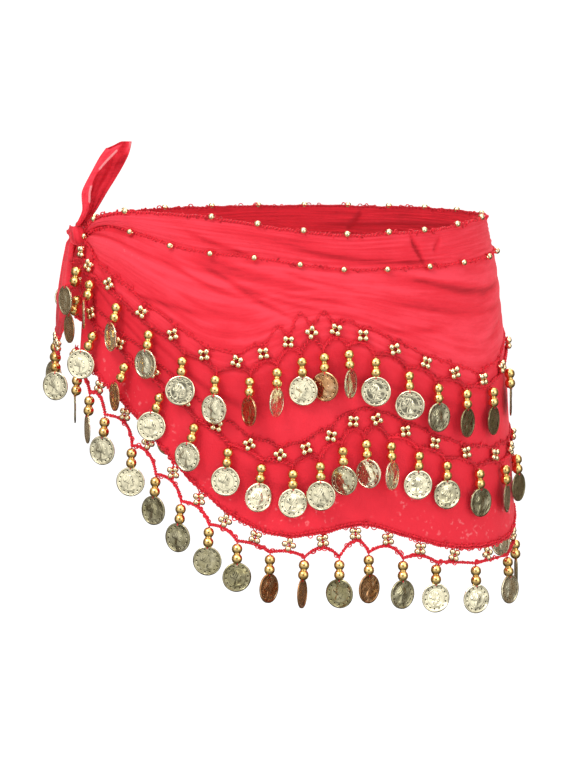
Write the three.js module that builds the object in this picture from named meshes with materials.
// A dance hip scarf of chiffon with three rows of coin drops, tied on the wearer's right hip and kept in the
// hollow form that it has when it is worn. Millimetres, +Z up, the front faces -Y, and the origin is the
// middle of the waist opening. Angles go round the hips in degrees: 0 is the wearer's right side (-X), 90 the
// front, 180 the left side and 270 the back. Heights are along Z.

import * as THREE from "three";

// ---- driving sizes ----

const WALL = 1.2; // cloth
const SEAM_GAP = 0.3; // between two pieces that are sewn together
const DEPTH_SHARE = 0.71; // the hips' depth over their width
const KNOT_ANGLE = 16.5;
const FRONT_START = 20; // the front's side edge at its top
const SIDE_SPLAY = 5.5; // degrees that each side edge leans away from the knot by the hem
const CREST_ANGLE = 187; // where the front stretch ends, at the left hip, on the crest of a wave
const BACK_END = 373; // the back's side edge at its top
const BACK_PACE = 1.14; // the back runs through the front's waves this much quicker
const NARROW_ANGLE = 326; // from here to the knot the back is gathered into the knot
const NARROW_PACE = 0.15;
const KNOT_SHARE = 0.42; // share of its height that the back keeps there
const TAKE_UP = 0.17; // share of the back's height that its soft folds take up elsewhere

const COIN_RADIUS = 10.8;
const COIN_THICK = 1;
const BEAD_RADIUS = 4;
const CLUSTER = 9; // four small beads together, across
const STRIP_OFF = 1.5; // between the cloth and the back of a crocheted strip
const STRIP_THICK = 2.4;
const CHAIN = 1.7; // crocheted chain, top to bottom
const DROP_LENGTH = 26; // from the point that a drop hangs from to the coin's centre
const BACK_SPACING = 27; // between the clusters on the back
const BACK_FALL = 10; // from the clusters' line there to the points that the drops hang from

// Half width of the hips at each height.
const HIPS = [
  { height: -320, halfWidth: 178 },
  { height: -230, halfWidth: 175 },
  { height: -160, halfWidth: 170.5 },
  { height: -100, halfWidth: 167 },
  { height: -64, halfWidth: 163.5 },
  { height: -34, halfWidth: 160 },
  { height: 0, halfWidth: 153 },
  { height: 60, halfWidth: 147 },
];

// Heights of the scarf's five lines across the front, from the knot to the left hip: the top edge, the beaded
// line below it, the upper and the lower coin row, and the hem.
const LINES = ["top", "beads", "upper", "lower", "hem"];
const FRONT = [
  { angle: 17, top: -7, beads: -12, upper: -15, lower: -30, hem: -84 },
  { angle: 24, top: 3, beads: -4, upper: -25, lower: -44, hem: -94 },
  { angle: 32, top: 8, beads: -0.5, upper: -35, lower: -65, hem: -104 },
  { angle: 40, top: 10.9, beads: -1.5, upper: -43.5, lower: -78, hem: -117 },
  { angle: 50, top: 11.7, beads: -6.5, upper: -58.8, lower: -92.5, hem: -136 },
  { angle: 60, top: 11.2, beads: -12.5, upper: -74, lower: -111, hem: -163 },
  { angle: 70, top: 9.1, beads: -16.5, upper: -90, lower: -133.8, hem: -189.5 },
  { angle: 80, top: 5.5, beads: -18.5, upper: -94, lower: -151.7, hem: -211 },
  { angle: 90, top: 1.5, beads: -22, upper: -81.7, lower: -162, hem: -221.5 },
  { angle: 100, top: -2, beads: -26.5, upper: -71.5, lower: -151.5, hem: -219 },
  { angle: 110, top: -3.6, beads: -28.5, upper: -75.6, lower: -136, hem: -214.5 },
  { angle: 122, top: -2.5, beads: -28.5, upper: -90.4, lower: -147.5, hem: -225 },
  { angle: 135, top: -1.8, beads: -27.5, upper: -104, lower: -161.5, hem: -234.5 },
  { angle: 150, top: 1.5, beads: -26, upper: -113.4, lower: -169.5, hem: -237 },
  { angle: 165, top: 4, beads: -24, upper: -105.5, lower: -170, hem: -233 },
  { angle: 178, top: 3.5, beads: -22.5, upper: -92, lower: -163.5, hem: -222 },
  { angle: 187, top: 3, beads: -22, upper: -86, lower: -158, hem: -214 },
];

// The top edge round the back.
const BACK_TOP = [
  { angle: 187, top: 3 },
  { angle: 230, top: 4.2 },
  { angle: 300, top: 3.4 },
  { angle: 330, top: 1.5 },
  { angle: 352, top: -4.5 },
  { angle: 376, top: -8 },
];

// The largest folds. Each runs between two angles, from one level to another, and is deepest at peak, a share
// of its length. A level counts the five lines: 0 is the top edge and 4 the hem. A trough has a negative depth.
const FOLDS = [
  { from: 10, to: 76, start: 0.5, end: 0.45, peak: 0.3, depth: 2.6, width: 0.4 },
  { from: 10, to: 62, start: 1.02, end: 1.04, peak: 0.3, depth: -2.4, width: 0.22 },
  { from: 12, to: 100, start: 1.3, end: 1.45, peak: 0.25, depth: 2.4, width: 0.24 },
  { from: 14, to: 104, start: 1.55, end: 1.9, peak: 0.4, depth: -1.6, width: 0.2 },
  { from: 60, to: 176, start: 0.3, end: 0.8, peak: 0.5, depth: -1.4, width: 0.25 },
  { from: 66, to: 150, start: 1.2, end: 1.35, peak: 0.5, depth: 1.5, width: 0.25 },
  { from: 84, to: 182, start: 1.4, end: 1.25, peak: 0.6, depth: -1.5, width: 0.22 },
  { from: 108, to: 186, start: 1.7, end: 1.5, peak: 0.6, depth: 1.3, width: 0.25 },
  { from: 190, to: 290, start: 0.5, end: 0.9, peak: 0.5, depth: -1.6, width: 0.3 },
  { from: 200, to: 330, start: 1.3, end: 1.1, peak: 0.5, depth: 1.8, width: 0.3 },
  { from: 215, to: 345, start: 1.7, end: 1.5, peak: 0.5, depth: -1.6, width: 0.25 },
  { from: 300, to: 384, start: 0.6, end: 0.5, peak: 0.7, depth: 2, width: 0.4 },
  { from: 310, to: 384, start: 1.4, end: 1.3, peak: 0.7, depth: -1.8, width: 0.3 },
  { from: 322, to: 400, start: 4.4, end: 4.2, peak: 0.5, depth: 1.2, width: 1 },
];

// The bead clusters on each line of the front, and the drop that hangs after each: its angle, how far below the
// clusters' line it hangs, how far its coin swings to the wearer's right, and how far the coin is turned out of
// the cloth's own direction, in degrees.
const FRONT_CLUSTERS = {
  upper: [
    { angle: 20.8, drop: 24.6, fall: 3.5, aside: 0.5, turn: -5 },
    { angle: 27.6, drop: 31, fall: 4.5, aside: -3, turn: -35 },
    { angle: 38.5, drop: 43.3, fall: 5, aside: 0, turn: -29 },
    { angle: 51.3, drop: 54.6, fall: 6, aside: 0, turn: -17 },
    { angle: 61.3, drop: 64.6, fall: 8, aside: 0, turn: 19 },
    { angle: 70.1, drop: 73.4, fall: 10, aside: 0, turn: -22 },
    { angle: 78.6, drop: 82, fall: 11.2, aside: 0, turn: -55 },
    { angle: 85.2, drop: 88.6, fall: 13.5, aside: 0, turn: 64 },
    { angle: 91.4, drop: 94.6, fall: 13.2, aside: -1, turn: -18 },
    { angle: 97.2, drop: 100.2, fall: 14.8, aside: 0, turn: -35 },
    { angle: 103.4, drop: 106.4, fall: 11.4, aside: 0, turn: 54 },
    { angle: 110.5, drop: 113.4, fall: 11.4, aside: 1, turn: -17 },
    { angle: 119.1, drop: 122.6, fall: 10.3, aside: 2, turn: -24 },
    { angle: 128.3, drop: 131.4, fall: 10.9, aside: 1, turn: 9 },
    { angle: 138.1, drop: 141.6, fall: 8.1, aside: 1, turn: 19 },
    { angle: 150.3, drop: 154.3, fall: 6, aside: 1, turn: 10 },
    { angle: 163.5, drop: 168.6, fall: 5.5, aside: 0, turn: 11 },
    { angle: 178.4 },
  ],
  lower: [
    { angle: 22, drop: 25, fall: 4.5, aside: 6, turn: -11 },
    { angle: 31.6, drop: 35.3, fall: 4.5, aside: 8, turn: 24 },
    { angle: 44.6, drop: 47.9, fall: 7.2, aside: 5, turn: -37 },
    { angle: 56.3, drop: 59, fall: 8.2, aside: 7, turn: 8 },
    { angle: 65.6, drop: 68.5, fall: 7.5, aside: 5, turn: -18 },
    { angle: 73.8, drop: 76.9, fall: 8.6, aside: 2, turn: -6 },
    { angle: 81.9, drop: 85, fall: 8, aside: 2, turn: 30 },
    { angle: 89.4, drop: 92.4, fall: 9.8, aside: 0, turn: 13 },
    { angle: 95.7, drop: 98.9, fall: 12.3, aside: 0, turn: -21 },
    { angle: 101.8, drop: 104.5, fall: 11.2, aside: 0, turn: -40 },
    { angle: 107.4, drop: 110.4, fall: 14, aside: 0, turn: -49 },
    { angle: 113.5, drop: 117, fall: 11, aside: 1, turn: 43 },
    { angle: 121.4, drop: 124.9, fall: 9.6, aside: 2, turn: -11 },
    { angle: 130.2, drop: 133.4, fall: 8.8, aside: 1, turn: -8 },
    { angle: 141.2, drop: 145.4, fall: 9.5, aside: 0, turn: -2 },
    { angle: 154.8, drop: 159.4, fall: 7, aside: 0, turn: 14 },
    { angle: 168.5, drop: 173.8, fall: 7.5, aside: 0, turn: -20 },
    { angle: 181.5 },
  ],
  hem: [
    { angle: 21.3, drop: 24.4, fall: 9, aside: 1, turn: -29 },
    { angle: 29, drop: 32, fall: 13, aside: 1.5, turn: -29 },
    { angle: 36.3, drop: 39.2, fall: 15.5, aside: 1.5, turn: 10 },
    { angle: 46.7, drop: 49.4, fall: 17, aside: 0, turn: 16 },
    { angle: 54.5, drop: 57.2, fall: 15.5, aside: 1, turn: -13 },
    { angle: 62.1, drop: 64.6, fall: 14.5, aside: 2, turn: -15 },
    { angle: 69.3, drop: 72, fall: 12.5, aside: 1, turn: -2 },
    { angle: 76, drop: 79, fall: 9.7, aside: 0, turn: 23 },
    { angle: 83.4, drop: 87, fall: 7.9, aside: 1, turn: 54 },
    { angle: 91.5, drop: 95.2, fall: 10.5, aside: 2, turn: 68 },
    { angle: 99.6, drop: 103.6, fall: 15, aside: 0, turn: -36 },
    { angle: 107.7, drop: 111, fall: 14.3, aside: 0, turn: 31 },
    { angle: 116.1, drop: 120.2, fall: 10.9, aside: 1, turn: 15 },
    { angle: 125.2, drop: 130, fall: 7.4, aside: 1, turn: -10 },
    { angle: 136.1, drop: 144.4, fall: 6.5, aside: 0, turn: -17 },
    { angle: 150, drop: 163, fall: 8, aside: -4, turn: -15 },
    { angle: 171.5, drop: 177.5, fall: 10, aside: 0, turn: 6 },
    { angle: 183.5 },
  ],
};

// The end that hangs from the knot over the back's side edge: at each height its two long edges, and how far it
// stands out of the cloth under it.
const HANGING_END = [
  { height: -77, left: 353.5, right: 371, out: 2.6 },
  { height: -66, left: 353.5, right: 377, out: 3.5 },
  { height: -48, left: 354, right: 378, out: 3.8 },
  { height: -30, left: 355.5, right: 377, out: 4.2 },
  { height: -18, left: 357.5, right: 374.5, out: 4.6 },
  { height: -9, left: 360, right: 373.2, out: 5 },
  { height: -3, left: 363, right: 371.5, out: 5.2 },
];
const END_SLANT = 9; // how much lower its right corner hangs than its left one
const END_CLUSTERS = [
  { angle: 355.5, drop: 359, fall: 4.5, aside: 0, turn: 36 },
  { angle: 363, drop: 367.5, fall: 6, aside: -5, turn: 50 },
  { angle: 370 },
];

// The end that stands up from the knot, folded lengthwise round its outer side: at each height its two sides as
// they stand across the hips, how far forward its middle is, and how deep the fold is front to back.
const STANDING_END = [
  { height: -1.4, left: -154, right: -147.5, forward: 33.5, deep: 6 },
  { height: 3, left: -151.5, right: -143, forward: 35.5, deep: 6 },
  { height: 10, left: -148.8, right: -137.8, forward: 37, deep: 7 },
  { height: 18, left: -149, right: -132.8, forward: 37, deep: 8 },
  { height: 24, left: -148.6, right: -129.2, forward: 37, deep: 9 },
  { height: 34, left: -144, right: -123, forward: 36.5, deep: 10 },
  { height: 49, left: -136.2, right: -114.4, forward: 36, deep: 10 },
  { height: 56, left: -131, right: -112, forward: 36, deep: 8.5 },
  { height: 61, left: -126.5, right: -111.2, forward: 36, deep: 5.5 },
];
const END_WALL = 1.4; // two thicknesses of chiffon

// ---- reading the tables ----

const radians = THREE.MathUtils.degToRad;
const clamp = THREE.MathUtils.clamp;
const smooth = (x, low, high) => THREE.MathUtils.smoothstep(x, low, high);

// A smooth curve through a table's column, held level past its ends.
function read(table, by, column, at) {
  const last = table.length - 1;
  let i = 0;
  while (i < last - 1 && at > table[i + 1][by]) {
    i += 1;
  }
  const slope = (k) => {
    const before = table[Math.max(k - 1, 0)];
    const after = table[Math.min(k + 1, last)];
    return (after[column] - before[column]) / (after[by] - before[by]);
  };
  const span = table[i + 1][by] - table[i][by];
  const t = clamp((at - table[i][by]) / span, 0, 1);
  const rise = t * t * (3 - 2 * t);
  const leaving = t * (1 - t) * (1 - t) * span * slope(i);
  const arriving = t * t * (t - 1) * span * slope(i + 1);
  return table[i][column] * (1 - rise) + table[i + 1][column] * rise + leaving + arriving;
}

// The heights of the scarf's five lines at an angle. The back repeats the front's waves, drawn up by its folds.
function lineHeights(angle) {
  if (angle <= CREST_ANGLE) {
    return LINES.map((line) => read(FRONT, "angle", line, angle));
  }
  const wide = Math.min(angle, NARROW_ANGLE);
  const mirrored = CREST_ANGLE - (wide - CREST_ANGLE) * BACK_PACE - (angle - wide) * NARROW_PACE;
  const top = read(BACK_TOP, "angle", "top", angle);
  const taken = TAKE_UP * smooth(angle, CREST_ANGLE, CREST_ANGLE + 22);
  const gathered = (1 - KNOT_SHARE - TAKE_UP) * smooth(angle, NARROW_ANGLE, BACK_END);
  const share = 1 - taken - gathered;
  const sourceTop = read(FRONT, "angle", "top", mirrored);
  return LINES.map((line) => top + (read(FRONT, "angle", line, mirrored) - sourceTop) * share);
}

function heightAt(angle, level) {
  const heights = lineHeights(angle);
  const i = Math.min(Math.floor(level), LINES.length - 2);
  return heights[i] + (heights[i + 1] - heights[i]) * (level - i);
}

// The level of a height at an angle: lineHeights read the other way.
function levelAt(angle, height) {
  const heights = lineHeights(angle);
  let i = 0;
  while (i < LINES.length - 2 && height < heights[i + 1]) {
    i += 1;
  }
  return i + (heights[i] - height) / (heights[i] - heights[i + 1]);
}

// How far the folds push the cloth out at an angle and level.
function foldOut(angle, level) {
  let out = 0;
  for (const fold of FOLDS) {
    const share = (angle - fold.from) / (fold.to - fold.from);
    if (share <= 0 || share >= 1) {
      continue;
    }
    const fade = share < fold.peak ? share / fold.peak : (1 - share) / (1 - fold.peak);
    const middle = fold.start + (fold.end - fold.start) * share;
    const across = (level - middle) / fold.width;
    out += fold.depth * smooth(fade, 0, 1) * Math.exp(-across * across);
  }
  return out;
}

// ---- the worn surface ----

// The direction straight out of the hips.
function outward(angle) {
  const a = radians(angle);
  return new THREE.Vector3(-Math.cos(a) * DEPTH_SHARE, -Math.sin(a), 0).normalize();
}

// The point at an angle and height, so far out of the cloth's outer face.
function onCloth(angle, height, out) {
  const halfWidth = read(HIPS, "height", "halfWidth", height);
  const a = radians(angle);
  const level = clamp(levelAt(angle, height), 0, LINES.length - 1);
  const point = new THREE.Vector3(-halfWidth * Math.cos(a), -halfWidth * DEPTH_SHARE * Math.sin(a), height);
  return point.addScaledVector(outward(angle), out + foldOut(angle, level));
}

// The angle at which a point stands round the hips, from the knot on.
function angleOf(point) {
  const turned = THREE.MathUtils.radToDeg(Math.atan2(-point.y / DEPTH_SHARE, -point.x));
  return THREE.MathUtils.euclideanModulo(turned - KNOT_ANGLE, 360) + KNOT_ANGLE;
}

// How far a point lies out of the cloth's outer face.
function clearOf(point) {
  const angle = angleOf(point);
  const face = onCloth(angle, point.z, 0);
  return new THREE.Vector3().subVectors(point, face).dot(outward(angle));
}

// A step round the hips in degrees for a distance in millimetres.
function degreesFor(distance, angle, height) {
  const a = radians(angle);
  const halfWidth = read(HIPS, "height", "halfWidth", height);
  return THREE.MathUtils.radToDeg(distance / halfWidth / Math.hypot(Math.sin(a), DEPTH_SHARE * Math.cos(a)));
}

// ---- mesh building ----

class Surface {
  constructor() {
    this.points = [];
    this.faces = [];
  }

  add(point) {
    this.points.push(point.x, point.y, point.z);
    return this.points.length / 3 - 1;
  }

  addAll(points) {
    return points.map((point) => this.add(point));
  }

  quad(a, b, c, d) {
    this.faces.push(a, b, c, a, c, d);
  }

  // Walls between two closed loops of equal length.
  join(loop, next) {
    loop.forEach((from, i) => {
      const j = (i + 1) % loop.length;
      this.quad(from, loop[j], next[j], next[i]);
    });
  }

  geometry() {
    const made = new THREE.BufferGeometry();
    made.setAttribute("position", new THREE.Float32BufferAttribute(this.points, 3));
    made.setIndex(this.faces);
    made.computeVertexNormals();
    return made;
  }
}

const scarf = new THREE.Group();

const MATERIALS = {
  chiffon: new THREE.MeshStandardMaterial({ color: 0xe8283c, roughness: 0.8, metalness: 0 }),
  coinGold: new THREE.MeshStandardMaterial({ color: 0xc9b677, roughness: 0.3, metalness: 0.9 }),
};

function addPiece(name, geometry, material) {
  const mesh = new THREE.Mesh(geometry, material);
  mesh.name = name;
  scarf.add(mesh);
}

// ---- the cloth ----

// A stretch of cloth as a closed wall: an outer and an inner face on the same grid, and rims all round. place
// gives the angle at a share of the stretch's length and a level.
function clothWall(columns, levels, place) {
  const surface = new Surface();
  const face = (out) =>
    Array.from({ length: columns + 1 }, (_, i) =>
      levels.map((level) => {
        const angle = place(i / columns, level);
        return surface.add(onCloth(angle, heightAt(angle, level), out));
      }),
    );
  const outer = face(0);
  const inner = face(-WALL);
  const rows = levels.length - 1;
  for (let i = 0; i < columns; i += 1) {
    for (let j = 0; j < rows; j += 1) {
      surface.quad(outer[i][j], outer[i][j + 1], outer[i + 1][j + 1], outer[i + 1][j]);
      surface.quad(inner[i][j], inner[i + 1][j], inner[i + 1][j + 1], inner[i][j + 1]);
    }
    surface.quad(outer[i][0], outer[i + 1][0], inner[i + 1][0], inner[i][0]);
    surface.quad(outer[i][rows], inner[i][rows], inner[i + 1][rows], outer[i + 1][rows]);
  }
  for (let j = 0; j < rows; j += 1) {
    surface.quad(outer[0][j], inner[0][j], inner[0][j + 1], outer[0][j + 1]);
    surface.quad(outer[columns][j], outer[columns][j + 1], inner[columns][j + 1], inner[columns][j]);
  }
  return surface.geometry();
}

// Levels from the top edge to the hem, with so many steps in each band between two lines.
function levelsWith(steps) {
  const levels = [0];
  steps.forEach((count, band) => {
    for (let k = 1; k <= count; k += 1) {
      levels.push(band + k / count);
    }
  });
  return levels;
}

const SEAM_HALF_ANGLE = degreesFor(SEAM_GAP / 2, CREST_ANGLE, 0);

// Columns stand closer together near the knot, where the folds run in.
const frontPlace = (share, level) => {
  const start = FRONT_START + (SIDE_SPLAY * level) / (LINES.length - 1);
  const end = CREST_ANGLE - SEAM_HALF_ANGLE;
  return start + (end - start) * Math.pow(share, 1.15);
};
const backPlace = (share, level) => {
  const start = CREST_ANGLE + SEAM_HALF_ANGLE;
  const end = BACK_END - (SIDE_SPLAY * level) / (LINES.length - 1);
  return end - (end - start) * Math.pow(1 - share, 1.15);
};

addPiece("front_wrap", clothWall(42, levelsWith([4, 6, 4, 4]), frontPlace), MATERIALS.chiffon);
addPiece("back_wrap", clothWall(42, levelsWith([3, 5, 3, 3]), backPlace), MATERIALS.chiffon);

// ---- the coin rows ----

// How far out the hanging end's outer face stands, faded to nothing beside it, so that the rows lie over it.
const END_FADE = 5;
function overHangingEnd(angle, height) {
  const round = angle + 360;
  const left = read(HANGING_END, "height", "left", height);
  const right = read(HANGING_END, "height", "right", height);
  const within = smooth(round, left - END_FADE, left) * smooth(-round, -right - END_FADE, -right - 0.5);
  const high = smooth(height, HANGING_END[0].height - END_SLANT - 8, HANGING_END[0].height - END_SLANT);
  return within * high * (read(HANGING_END, "height", "out", height) + END_WALL);
}

// How much longer a line is than its level run, because it climbs or falls.
function stretchAt(heightOf, angle) {
  const run = 2 / degreesFor(1, angle, heightOf(angle));
  return Math.hypot(1, (heightOf(angle + 1) - heightOf(angle - 1)) / run);
}

// A line that a row follows: the height of its clusters' middles at each angle, what it lies over, how far out
// its beads hang, how far its clusters reach up, and the line of the row under it. A row that edges the cloth
// hangs straight under the edge.
const LEG = 1.6; // thread between the edge and a cluster
const TOP_GAP = 0.9; // between the edge and the top of a cluster's solid
const EDGE_HANG = CLUSTER / 2 + LEG;
const STRIP_MIDDLE = STRIP_OFF + STRIP_THICK / 2;
const BEAD_OFF = BEAD_RADIUS + 0.8;
const clothLine = (name, below) => ({
  height: (angle) => lineHeights(angle)[LINES.indexOf(name)],
  over: (angle, height) => (angle < CREST_ANGLE ? overHangingEnd(angle, height) : 0),
  beads: BEAD_OFF,
  reach: CLUSTER / 2,
  below,
});
const edgeLine = (edge, middle) => ({
  height: (angle) => edge(angle) - EDGE_HANG * stretchAt(edge, angle),
  over: () => middle - STRIP_MIDDLE,
  beads: STRIP_MIDDLE,
  reach: EDGE_HANG - TOP_GAP,
  below: null,
});
const hemLine = edgeLine((angle) => lineHeights(angle)[LINES.indexOf("hem")], -WALL / 2);
const lowerLine = clothLine("lower", hemLine);
const upperLine = clothLine("upper", lowerLine);
const endShare = (angle) => {
  const foot = HANGING_END[0];
  return clamp((angle - foot.left) / (foot.right - foot.left), 0, 1);
};
const endEdge = (angle) => HANGING_END[0].height - END_SLANT * endShare(angle);
const endLine = edgeLine(endEdge, HANGING_END[0].out + END_WALL / 2);

// Clusters an even distance apart along a line of the back, with the coins turned this way and that. They leave
// off where the cloth is gathered into the knot.
const BACK_TURNS = [14, -26, 8, 31, -12, -38, 20, 5, -18];
function backClusters(line, end) {
  const clusters = [];
  let angle = CREST_ANGLE + 6;
  while (angle < end) {
    const step = degreesFor(BACK_SPACING, angle, line.height(angle)) / stretchAt(line.height, angle);
    const turn = BACK_TURNS[clusters.length % BACK_TURNS.length];
    clusters.push({ angle, drop: angle + step / 2, fall: BACK_FALL, aside: 0, turn });
    angle += step;
  }
  const last = clusters.pop();
  return [...clusters, { angle: last.angle }];
}

// How far out a point of a coin must be, to lie clear of the cloth, of the next row's strip and of its beads.
const CLOTH_CLEAR = 1.3;
const STRIP_CLEAR = STRIP_OFF + STRIP_THICK + 1.1;
const BEADS_CLEAR = 10.8;
const BEADS_REACH = 4.6 * BEAD_RADIUS;
const NET_REACH = 13; // above and below the line

function neededOut(line, point) {
  const angle = angleOf(point);
  const ground = line.over(angle, point.z);
  const under = line.below.height(angle) - point.z;
  if (under < -NET_REACH || under > NET_REACH + BEADS_REACH) {
    return ground + CLOTH_CLEAR;
  }
  return ground + (under < NET_REACH ? STRIP_CLEAR : BEADS_CLEAR);
}

// The middle of a drop so far down from where it hangs. It swings aside more the lower it is.
function downDrop(hang, down, out) {
  const height = hang.height - down;
  const aside = degreesFor((hang.aside * down) / DROP_LENGTH, hang.angle, height);
  return onCloth(hang.angle - aside, height, out);
}

// A coin as its centre, the way it faces, and points on its rim.
const RIM_POINTS = 12;
const UP = new THREE.Vector3(0, 0, 1);
function coinAt(hang, out) {
  const middle = downDrop(hang, DROP_LENGTH, out);
  const facing = outward(hang.angle).applyAxisAngle(UP, radians(hang.turn));
  const across = new THREE.Vector3(-facing.y, facing.x, 0);
  const rim = Array.from({ length: RIM_POINTS }, (_, i) => {
    const a = (i / RIM_POINTS) * 2 * Math.PI;
    const point = middle.clone().addScaledVector(across, COIN_RADIUS * Math.cos(a));
    return point.addScaledVector(UP, COIN_RADIUS * Math.sin(a));
  });
  return { middle, facing, across, rim, out };
}

const COIN_APART = COIN_THICK + 0.8;
function coinsMeet(one, other) {
  return [...one.rim, one.middle].some((point) => {
    const from = new THREE.Vector3().subVectors(point, other.middle);
    const off = from.dot(other.facing);
    const across = from.addScaledVector(other.facing, -off).length();
    return Math.abs(off) < COIN_APART && across < COIN_RADIUS + 0.8;
  });
}

// Moves a coin out until it is clear of what lies behind it and of the coin before it.
function hangCoin(line, hang, before) {
  let coin = coinAt(hang, line.beads + line.over(hang.angle, hang.height));
  if (line.below) {
    const short = Math.max(...coin.rim.map((point) => neededOut(line, point) - clearOf(point)));
    coin = coinAt(hang, coin.out + Math.max(short, 0));
  }
  while (before && (coinsMeet(coin, before) || coinsMeet(before, coin))) {
    coin = coinAt(hang, coin.out + 0.5);
  }
  return coin;
}

// The rings of a drop below its root: two beads with a thread between them, each so far down, and an eight-sided
// coin, each ring so far below its centre.
const THREAD = 0.7;
const BEAD_HALF = 3.3;
const BEADS = [
  { down: 5.2, half: BEAD_HALF },
  { down: 8.8, half: THREAD },
  { down: 12.4, half: BEAD_HALF },
  { down: 15.1, half: THREAD },
];
const COIN = [
  { below: -COIN_RADIUS, across: 0.42 * COIN_RADIUS },
  { below: -0.42 * COIN_RADIUS, across: COIN_RADIUS },
  { below: 0.42 * COIN_RADIUS, across: COIN_RADIUS },
  { below: COIN_RADIUS, across: 0.42 * COIN_RADIUS },
];

function ring(middle, across, facing, halfAcross, halfDeep) {
  const corner = (x, y) => {
    const point = middle.clone().addScaledVector(across, x * halfAcross);
    return point.addScaledVector(facing, y * halfDeep);
  };
  return [corner(-1, 1), corner(-1, -1), corner(1, -1), corner(1, 1)];
}

// Grows a drop out of a loop of four points on the strip's underside.
function growDrop(surface, root, line, hang, coin) {
  const facing = outward(hang.angle);
  const across = new THREE.Vector3(-facing.y, facing.x, 0);
  const start = line.beads + line.over(hang.angle, hang.height);
  const stem = Math.max(coin.out - start, 0);
  let loop = root;
  const grow = (points) => {
    const next = surface.addAll(points);
    surface.join(loop, next);
    loop = next;
  };
  BEADS.forEach((bead) => {
    const out = start + stem * Math.pow(bead.down / DROP_LENGTH, 1.4);
    const middle = downDrop(hang, bead.down, out);
    if (line.below) {
      middle.addScaledVector(facing, Math.max(neededOut(line, middle) + bead.half - out, 0));
    }
    grow(ring(middle, across, facing, bead.half, bead.half));
  });
  COIN.forEach((part) => {
    const middle = coin.middle.clone().addScaledVector(UP, -part.below);
    grow(ring(middle, coin.across, coin.facing, part.across, COIN_THICK / 2));
  });
  surface.quad(...loop);
}

// A crocheted strip along a line, with its clusters and drops. Four points stand at each step along it: outer
// top, outer bottom, inner bottom and inner top.
function coinRow(line, clusters) {
  const surface = new Surface();
  const section = (angle, low, high) => {
    const middle = (low + high) / 2;
    const inner = STRIP_OFF + line.over(angle, middle);
    const corner = (height, out) => {
      const point = onCloth(angle, middle, out);
      point.z = height;
      return point;
    };
    const outer = inner + STRIP_THICK;
    return surface.addAll([corner(high, outer), corner(low, outer), corner(low, inner), corner(high, inner)]);
  };
  let last = null;
  const step = (angle, low, high, open = false) => {
    const from = last;
    const to = section(angle, low, high);
    last = to;
    if (!from) {
      surface.quad(to[0], to[3], to[2], to[1]);
      return null;
    }
    surface.quad(from[0], from[1], to[1], to[0]);
    surface.quad(from[0], to[0], to[3], from[3]);
    surface.quad(from[3], to[3], to[2], from[2]);
    if (!open) {
      surface.quad(from[1], from[2], to[2], to[1]);
    }
    return from;
  };
  let coin = null;
  clusters.forEach((cluster) => {
    const height = line.height(cluster.angle);
    const stretch = stretchAt(line.height, cluster.angle);
    const half = degreesFor(CLUSTER / 2, cluster.angle, height) / stretch;
    const foot = (CLUSTER / 2) * stretch;
    const beside = (angle) => step(angle, line.height(angle) - foot, line.height(angle) - foot + CHAIN);
    beside(cluster.angle - half);
    step(cluster.angle, height - foot, height + line.reach * stretch);
    beside(cluster.angle + half);
    if (cluster.drop) {
      const { drop, fall, aside, turn } = cluster;
      const hang = { angle: drop, height: line.height(drop) - fall, aside, turn };
      const wide = degreesFor(CHAIN / 2, hang.angle, hang.height);
      step(hang.angle - wide, hang.height, hang.height + CHAIN);
      const from = step(hang.angle + wide, hang.height, hang.height + CHAIN, true);
      coin = hangCoin(line, hang, coin);
      growDrop(surface, [from[1], from[2], last[2], last[1]], line, hang, coin);
    }
  });
  surface.quad(...last);
  return surface.geometry();
}

addPiece("front_upper_row", coinRow(upperLine, FRONT_CLUSTERS.upper), MATERIALS.coinGold);
addPiece("front_lower_row", coinRow(lowerLine, FRONT_CLUSTERS.lower), MATERIALS.coinGold);
addPiece("front_hem_row", coinRow(hemLine, FRONT_CLUSTERS.hem), MATERIALS.coinGold);
addPiece("back_upper_row", coinRow(upperLine, backClusters(upperLine, 347)), MATERIALS.coinGold);
addPiece("back_lower_row", coinRow(lowerLine, backClusters(lowerLine, 330)), MATERIALS.coinGold);
addPiece("back_hem_row", coinRow(hemLine, backClusters(hemLine, 318)), MATERIALS.coinGold);
addPiece("end_row", coinRow(endLine, END_CLUSTERS), MATERIALS.coinGold);

// ---- the knot and its two ends ----

const KNOT = { height: -9, out: 3.4, across: 6.2, deep: 6, tall: 7.2 };
const KNOT_SIDES = 16;
const KNOT_RINGS = 9;

// A bound lump, with the two wraps of cloth as grooves that run round it aslant.
function knot() {
  const middle = onCloth(KNOT_ANGLE, KNOT.height, KNOT.out);
  const facing = outward(KNOT_ANGLE);
  const across = new THREE.Vector3(facing.y, -facing.x, 0);
  const surface = new Surface();
  const at = (round, up) => {
    const groove = 1 + 0.09 * Math.cos(2 * round + 3 * up) * Math.cos(up);
    return middle
      .clone()
      .addScaledVector(across, KNOT.across * groove * Math.cos(up) * Math.cos(round))
      .addScaledVector(facing, KNOT.deep * groove * Math.cos(up) * Math.sin(round))
      .add(new THREE.Vector3(0, 0, KNOT.tall * Math.sin(up)));
  };
  const loops = [];
  for (let j = 1; j < KNOT_RINGS; j += 1) {
    const up = (j / KNOT_RINGS - 0.5) * Math.PI;
    const points = Array.from({ length: KNOT_SIDES }, (_, i) => at((i / KNOT_SIDES) * 2 * Math.PI, up));
    loops.push(surface.addAll(points));
  }
  const foot = surface.add(at(0, -Math.PI / 2));
  const head = surface.add(at(0, Math.PI / 2));
  loops.slice(1).forEach((loop, j) => surface.join(loops[j], loop));
  for (let i = 0; i < KNOT_SIDES; i += 1) {
    const j = (i + 1) % KNOT_SIDES;
    surface.faces.push(foot, loops[0][j], loops[0][i]);
    surface.faces.push(head, loops[loops.length - 1][i], loops[loops.length - 1][j]);
  }
  return surface.geometry();
}

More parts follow.
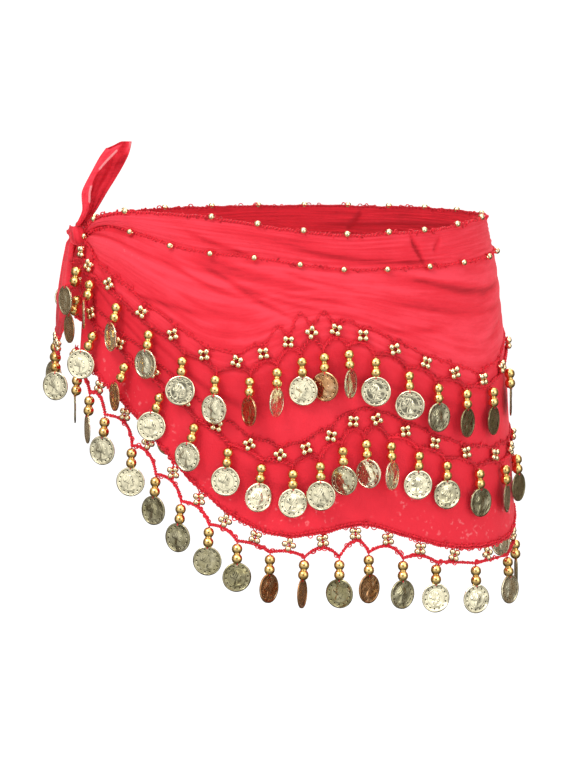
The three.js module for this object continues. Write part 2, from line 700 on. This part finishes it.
// Each section of the standing end runs from the free edge in front, round the fold, to the edge behind.
const FOLD_STEPS = 11;
const FOLD_FROM = -72;
const FOLD_TURN = -262;
const STANDING_STEPS = 16;
function standingEnd() {
  const surface = new Surface();
  const foot = STANDING_END[0].height;
  const head = STANDING_END[STANDING_END.length - 1].height;
  const loops = [];
  for (let k = 0; k <= STANDING_STEPS; k += 1) {
    const height = foot + ((head - foot) * k) / STANDING_STEPS;
    const value = (column) => read(STANDING_END, "height", column, height);
    const face = (share, inset) => {
      const a = radians(FOLD_FROM + FOLD_TURN * share);
      const x = (value("left") + value("right")) / 2;
      const across = (value("right") - value("left")) / 2 - inset;
      const deep = value("deep") / 2 - inset;
      return new THREE.Vector3(x + across * Math.cos(a), deep * Math.sin(a) - value("forward"), height);
    };
    const outer = Array.from({ length: FOLD_STEPS + 1 }, (_, i) => face(i / FOLD_STEPS, 0));
    const inner = Array.from({ length: FOLD_STEPS + 1 }, (_, i) => face(1 - i / FOLD_STEPS, END_WALL));
    loops.push(surface.addAll([...outer, ...inner]));
  }
  loops.slice(1).forEach((loop, k) => surface.join(loop, loops[k]));
  closeStrip(surface, loops[0], false);
  closeStrip(surface, loops[loops.length - 1], true);
  return surface.geometry();
}

// Closes the end of a bent strip whose loop runs out along one face and back along the other.
function closeStrip(surface, loop, start) {
  const count = loop.length;
  for (let i = 0; i < count / 2 - 1; i += 1) {
    const quad = [loop[i], loop[i + 1], loop[count - 2 - i], loop[count - 1 - i]];
    if (start) {
      quad.reverse();
    }
    surface.quad(...quad);
  }
}

// The hanging end: a cupped strip that narrows into the knot.
const HANGING_STEPS = 12;
const CUP = 0.8; // its middle stands this far out of its edges
function hangingEnd() {
  const surface = new Surface();
  const across = 6;
  const foot = HANGING_END[0].height;
  const head = HANGING_END[HANGING_END.length - 1].height;
  const loops = [];
  for (let k = 0; k <= HANGING_STEPS; k += 1) {
    const down = 1 - k / HANGING_STEPS;
    const level = foot + (head - foot) * (1 - down);
    const value = (column) => read(HANGING_END, "height", column, level);
    const point = (share, off) => {
      const angle = value("left") + (value("right") - value("left")) * share;
      const height = level - END_SLANT * share * down;
      return onCloth(angle, height, value("out") + off - CUP * Math.pow(2 * share - 1, 2));
    };
    const outer = Array.from({ length: across + 1 }, (_, i) => point(i / across, END_WALL));
    const inner = Array.from({ length: across + 1 }, (_, i) => point(1 - i / across, 0));
    loops.push(surface.addAll([...outer, ...inner]));
  }
  loops.slice(1).forEach((loop, k) => surface.join(loops[k], loop));
  closeStrip(surface, loops[0], true);
  closeStrip(surface, loops[loops.length - 1], false);
  return surface.geometry();
}

addPiece("knot", knot(), MATERIALS.chiffon);
addPiece("standing_end", standingEnd(), MATERIALS.chiffon);
addPiece("hanging_end", hangingEnd(), MATERIALS.chiffon);

export default scarf;
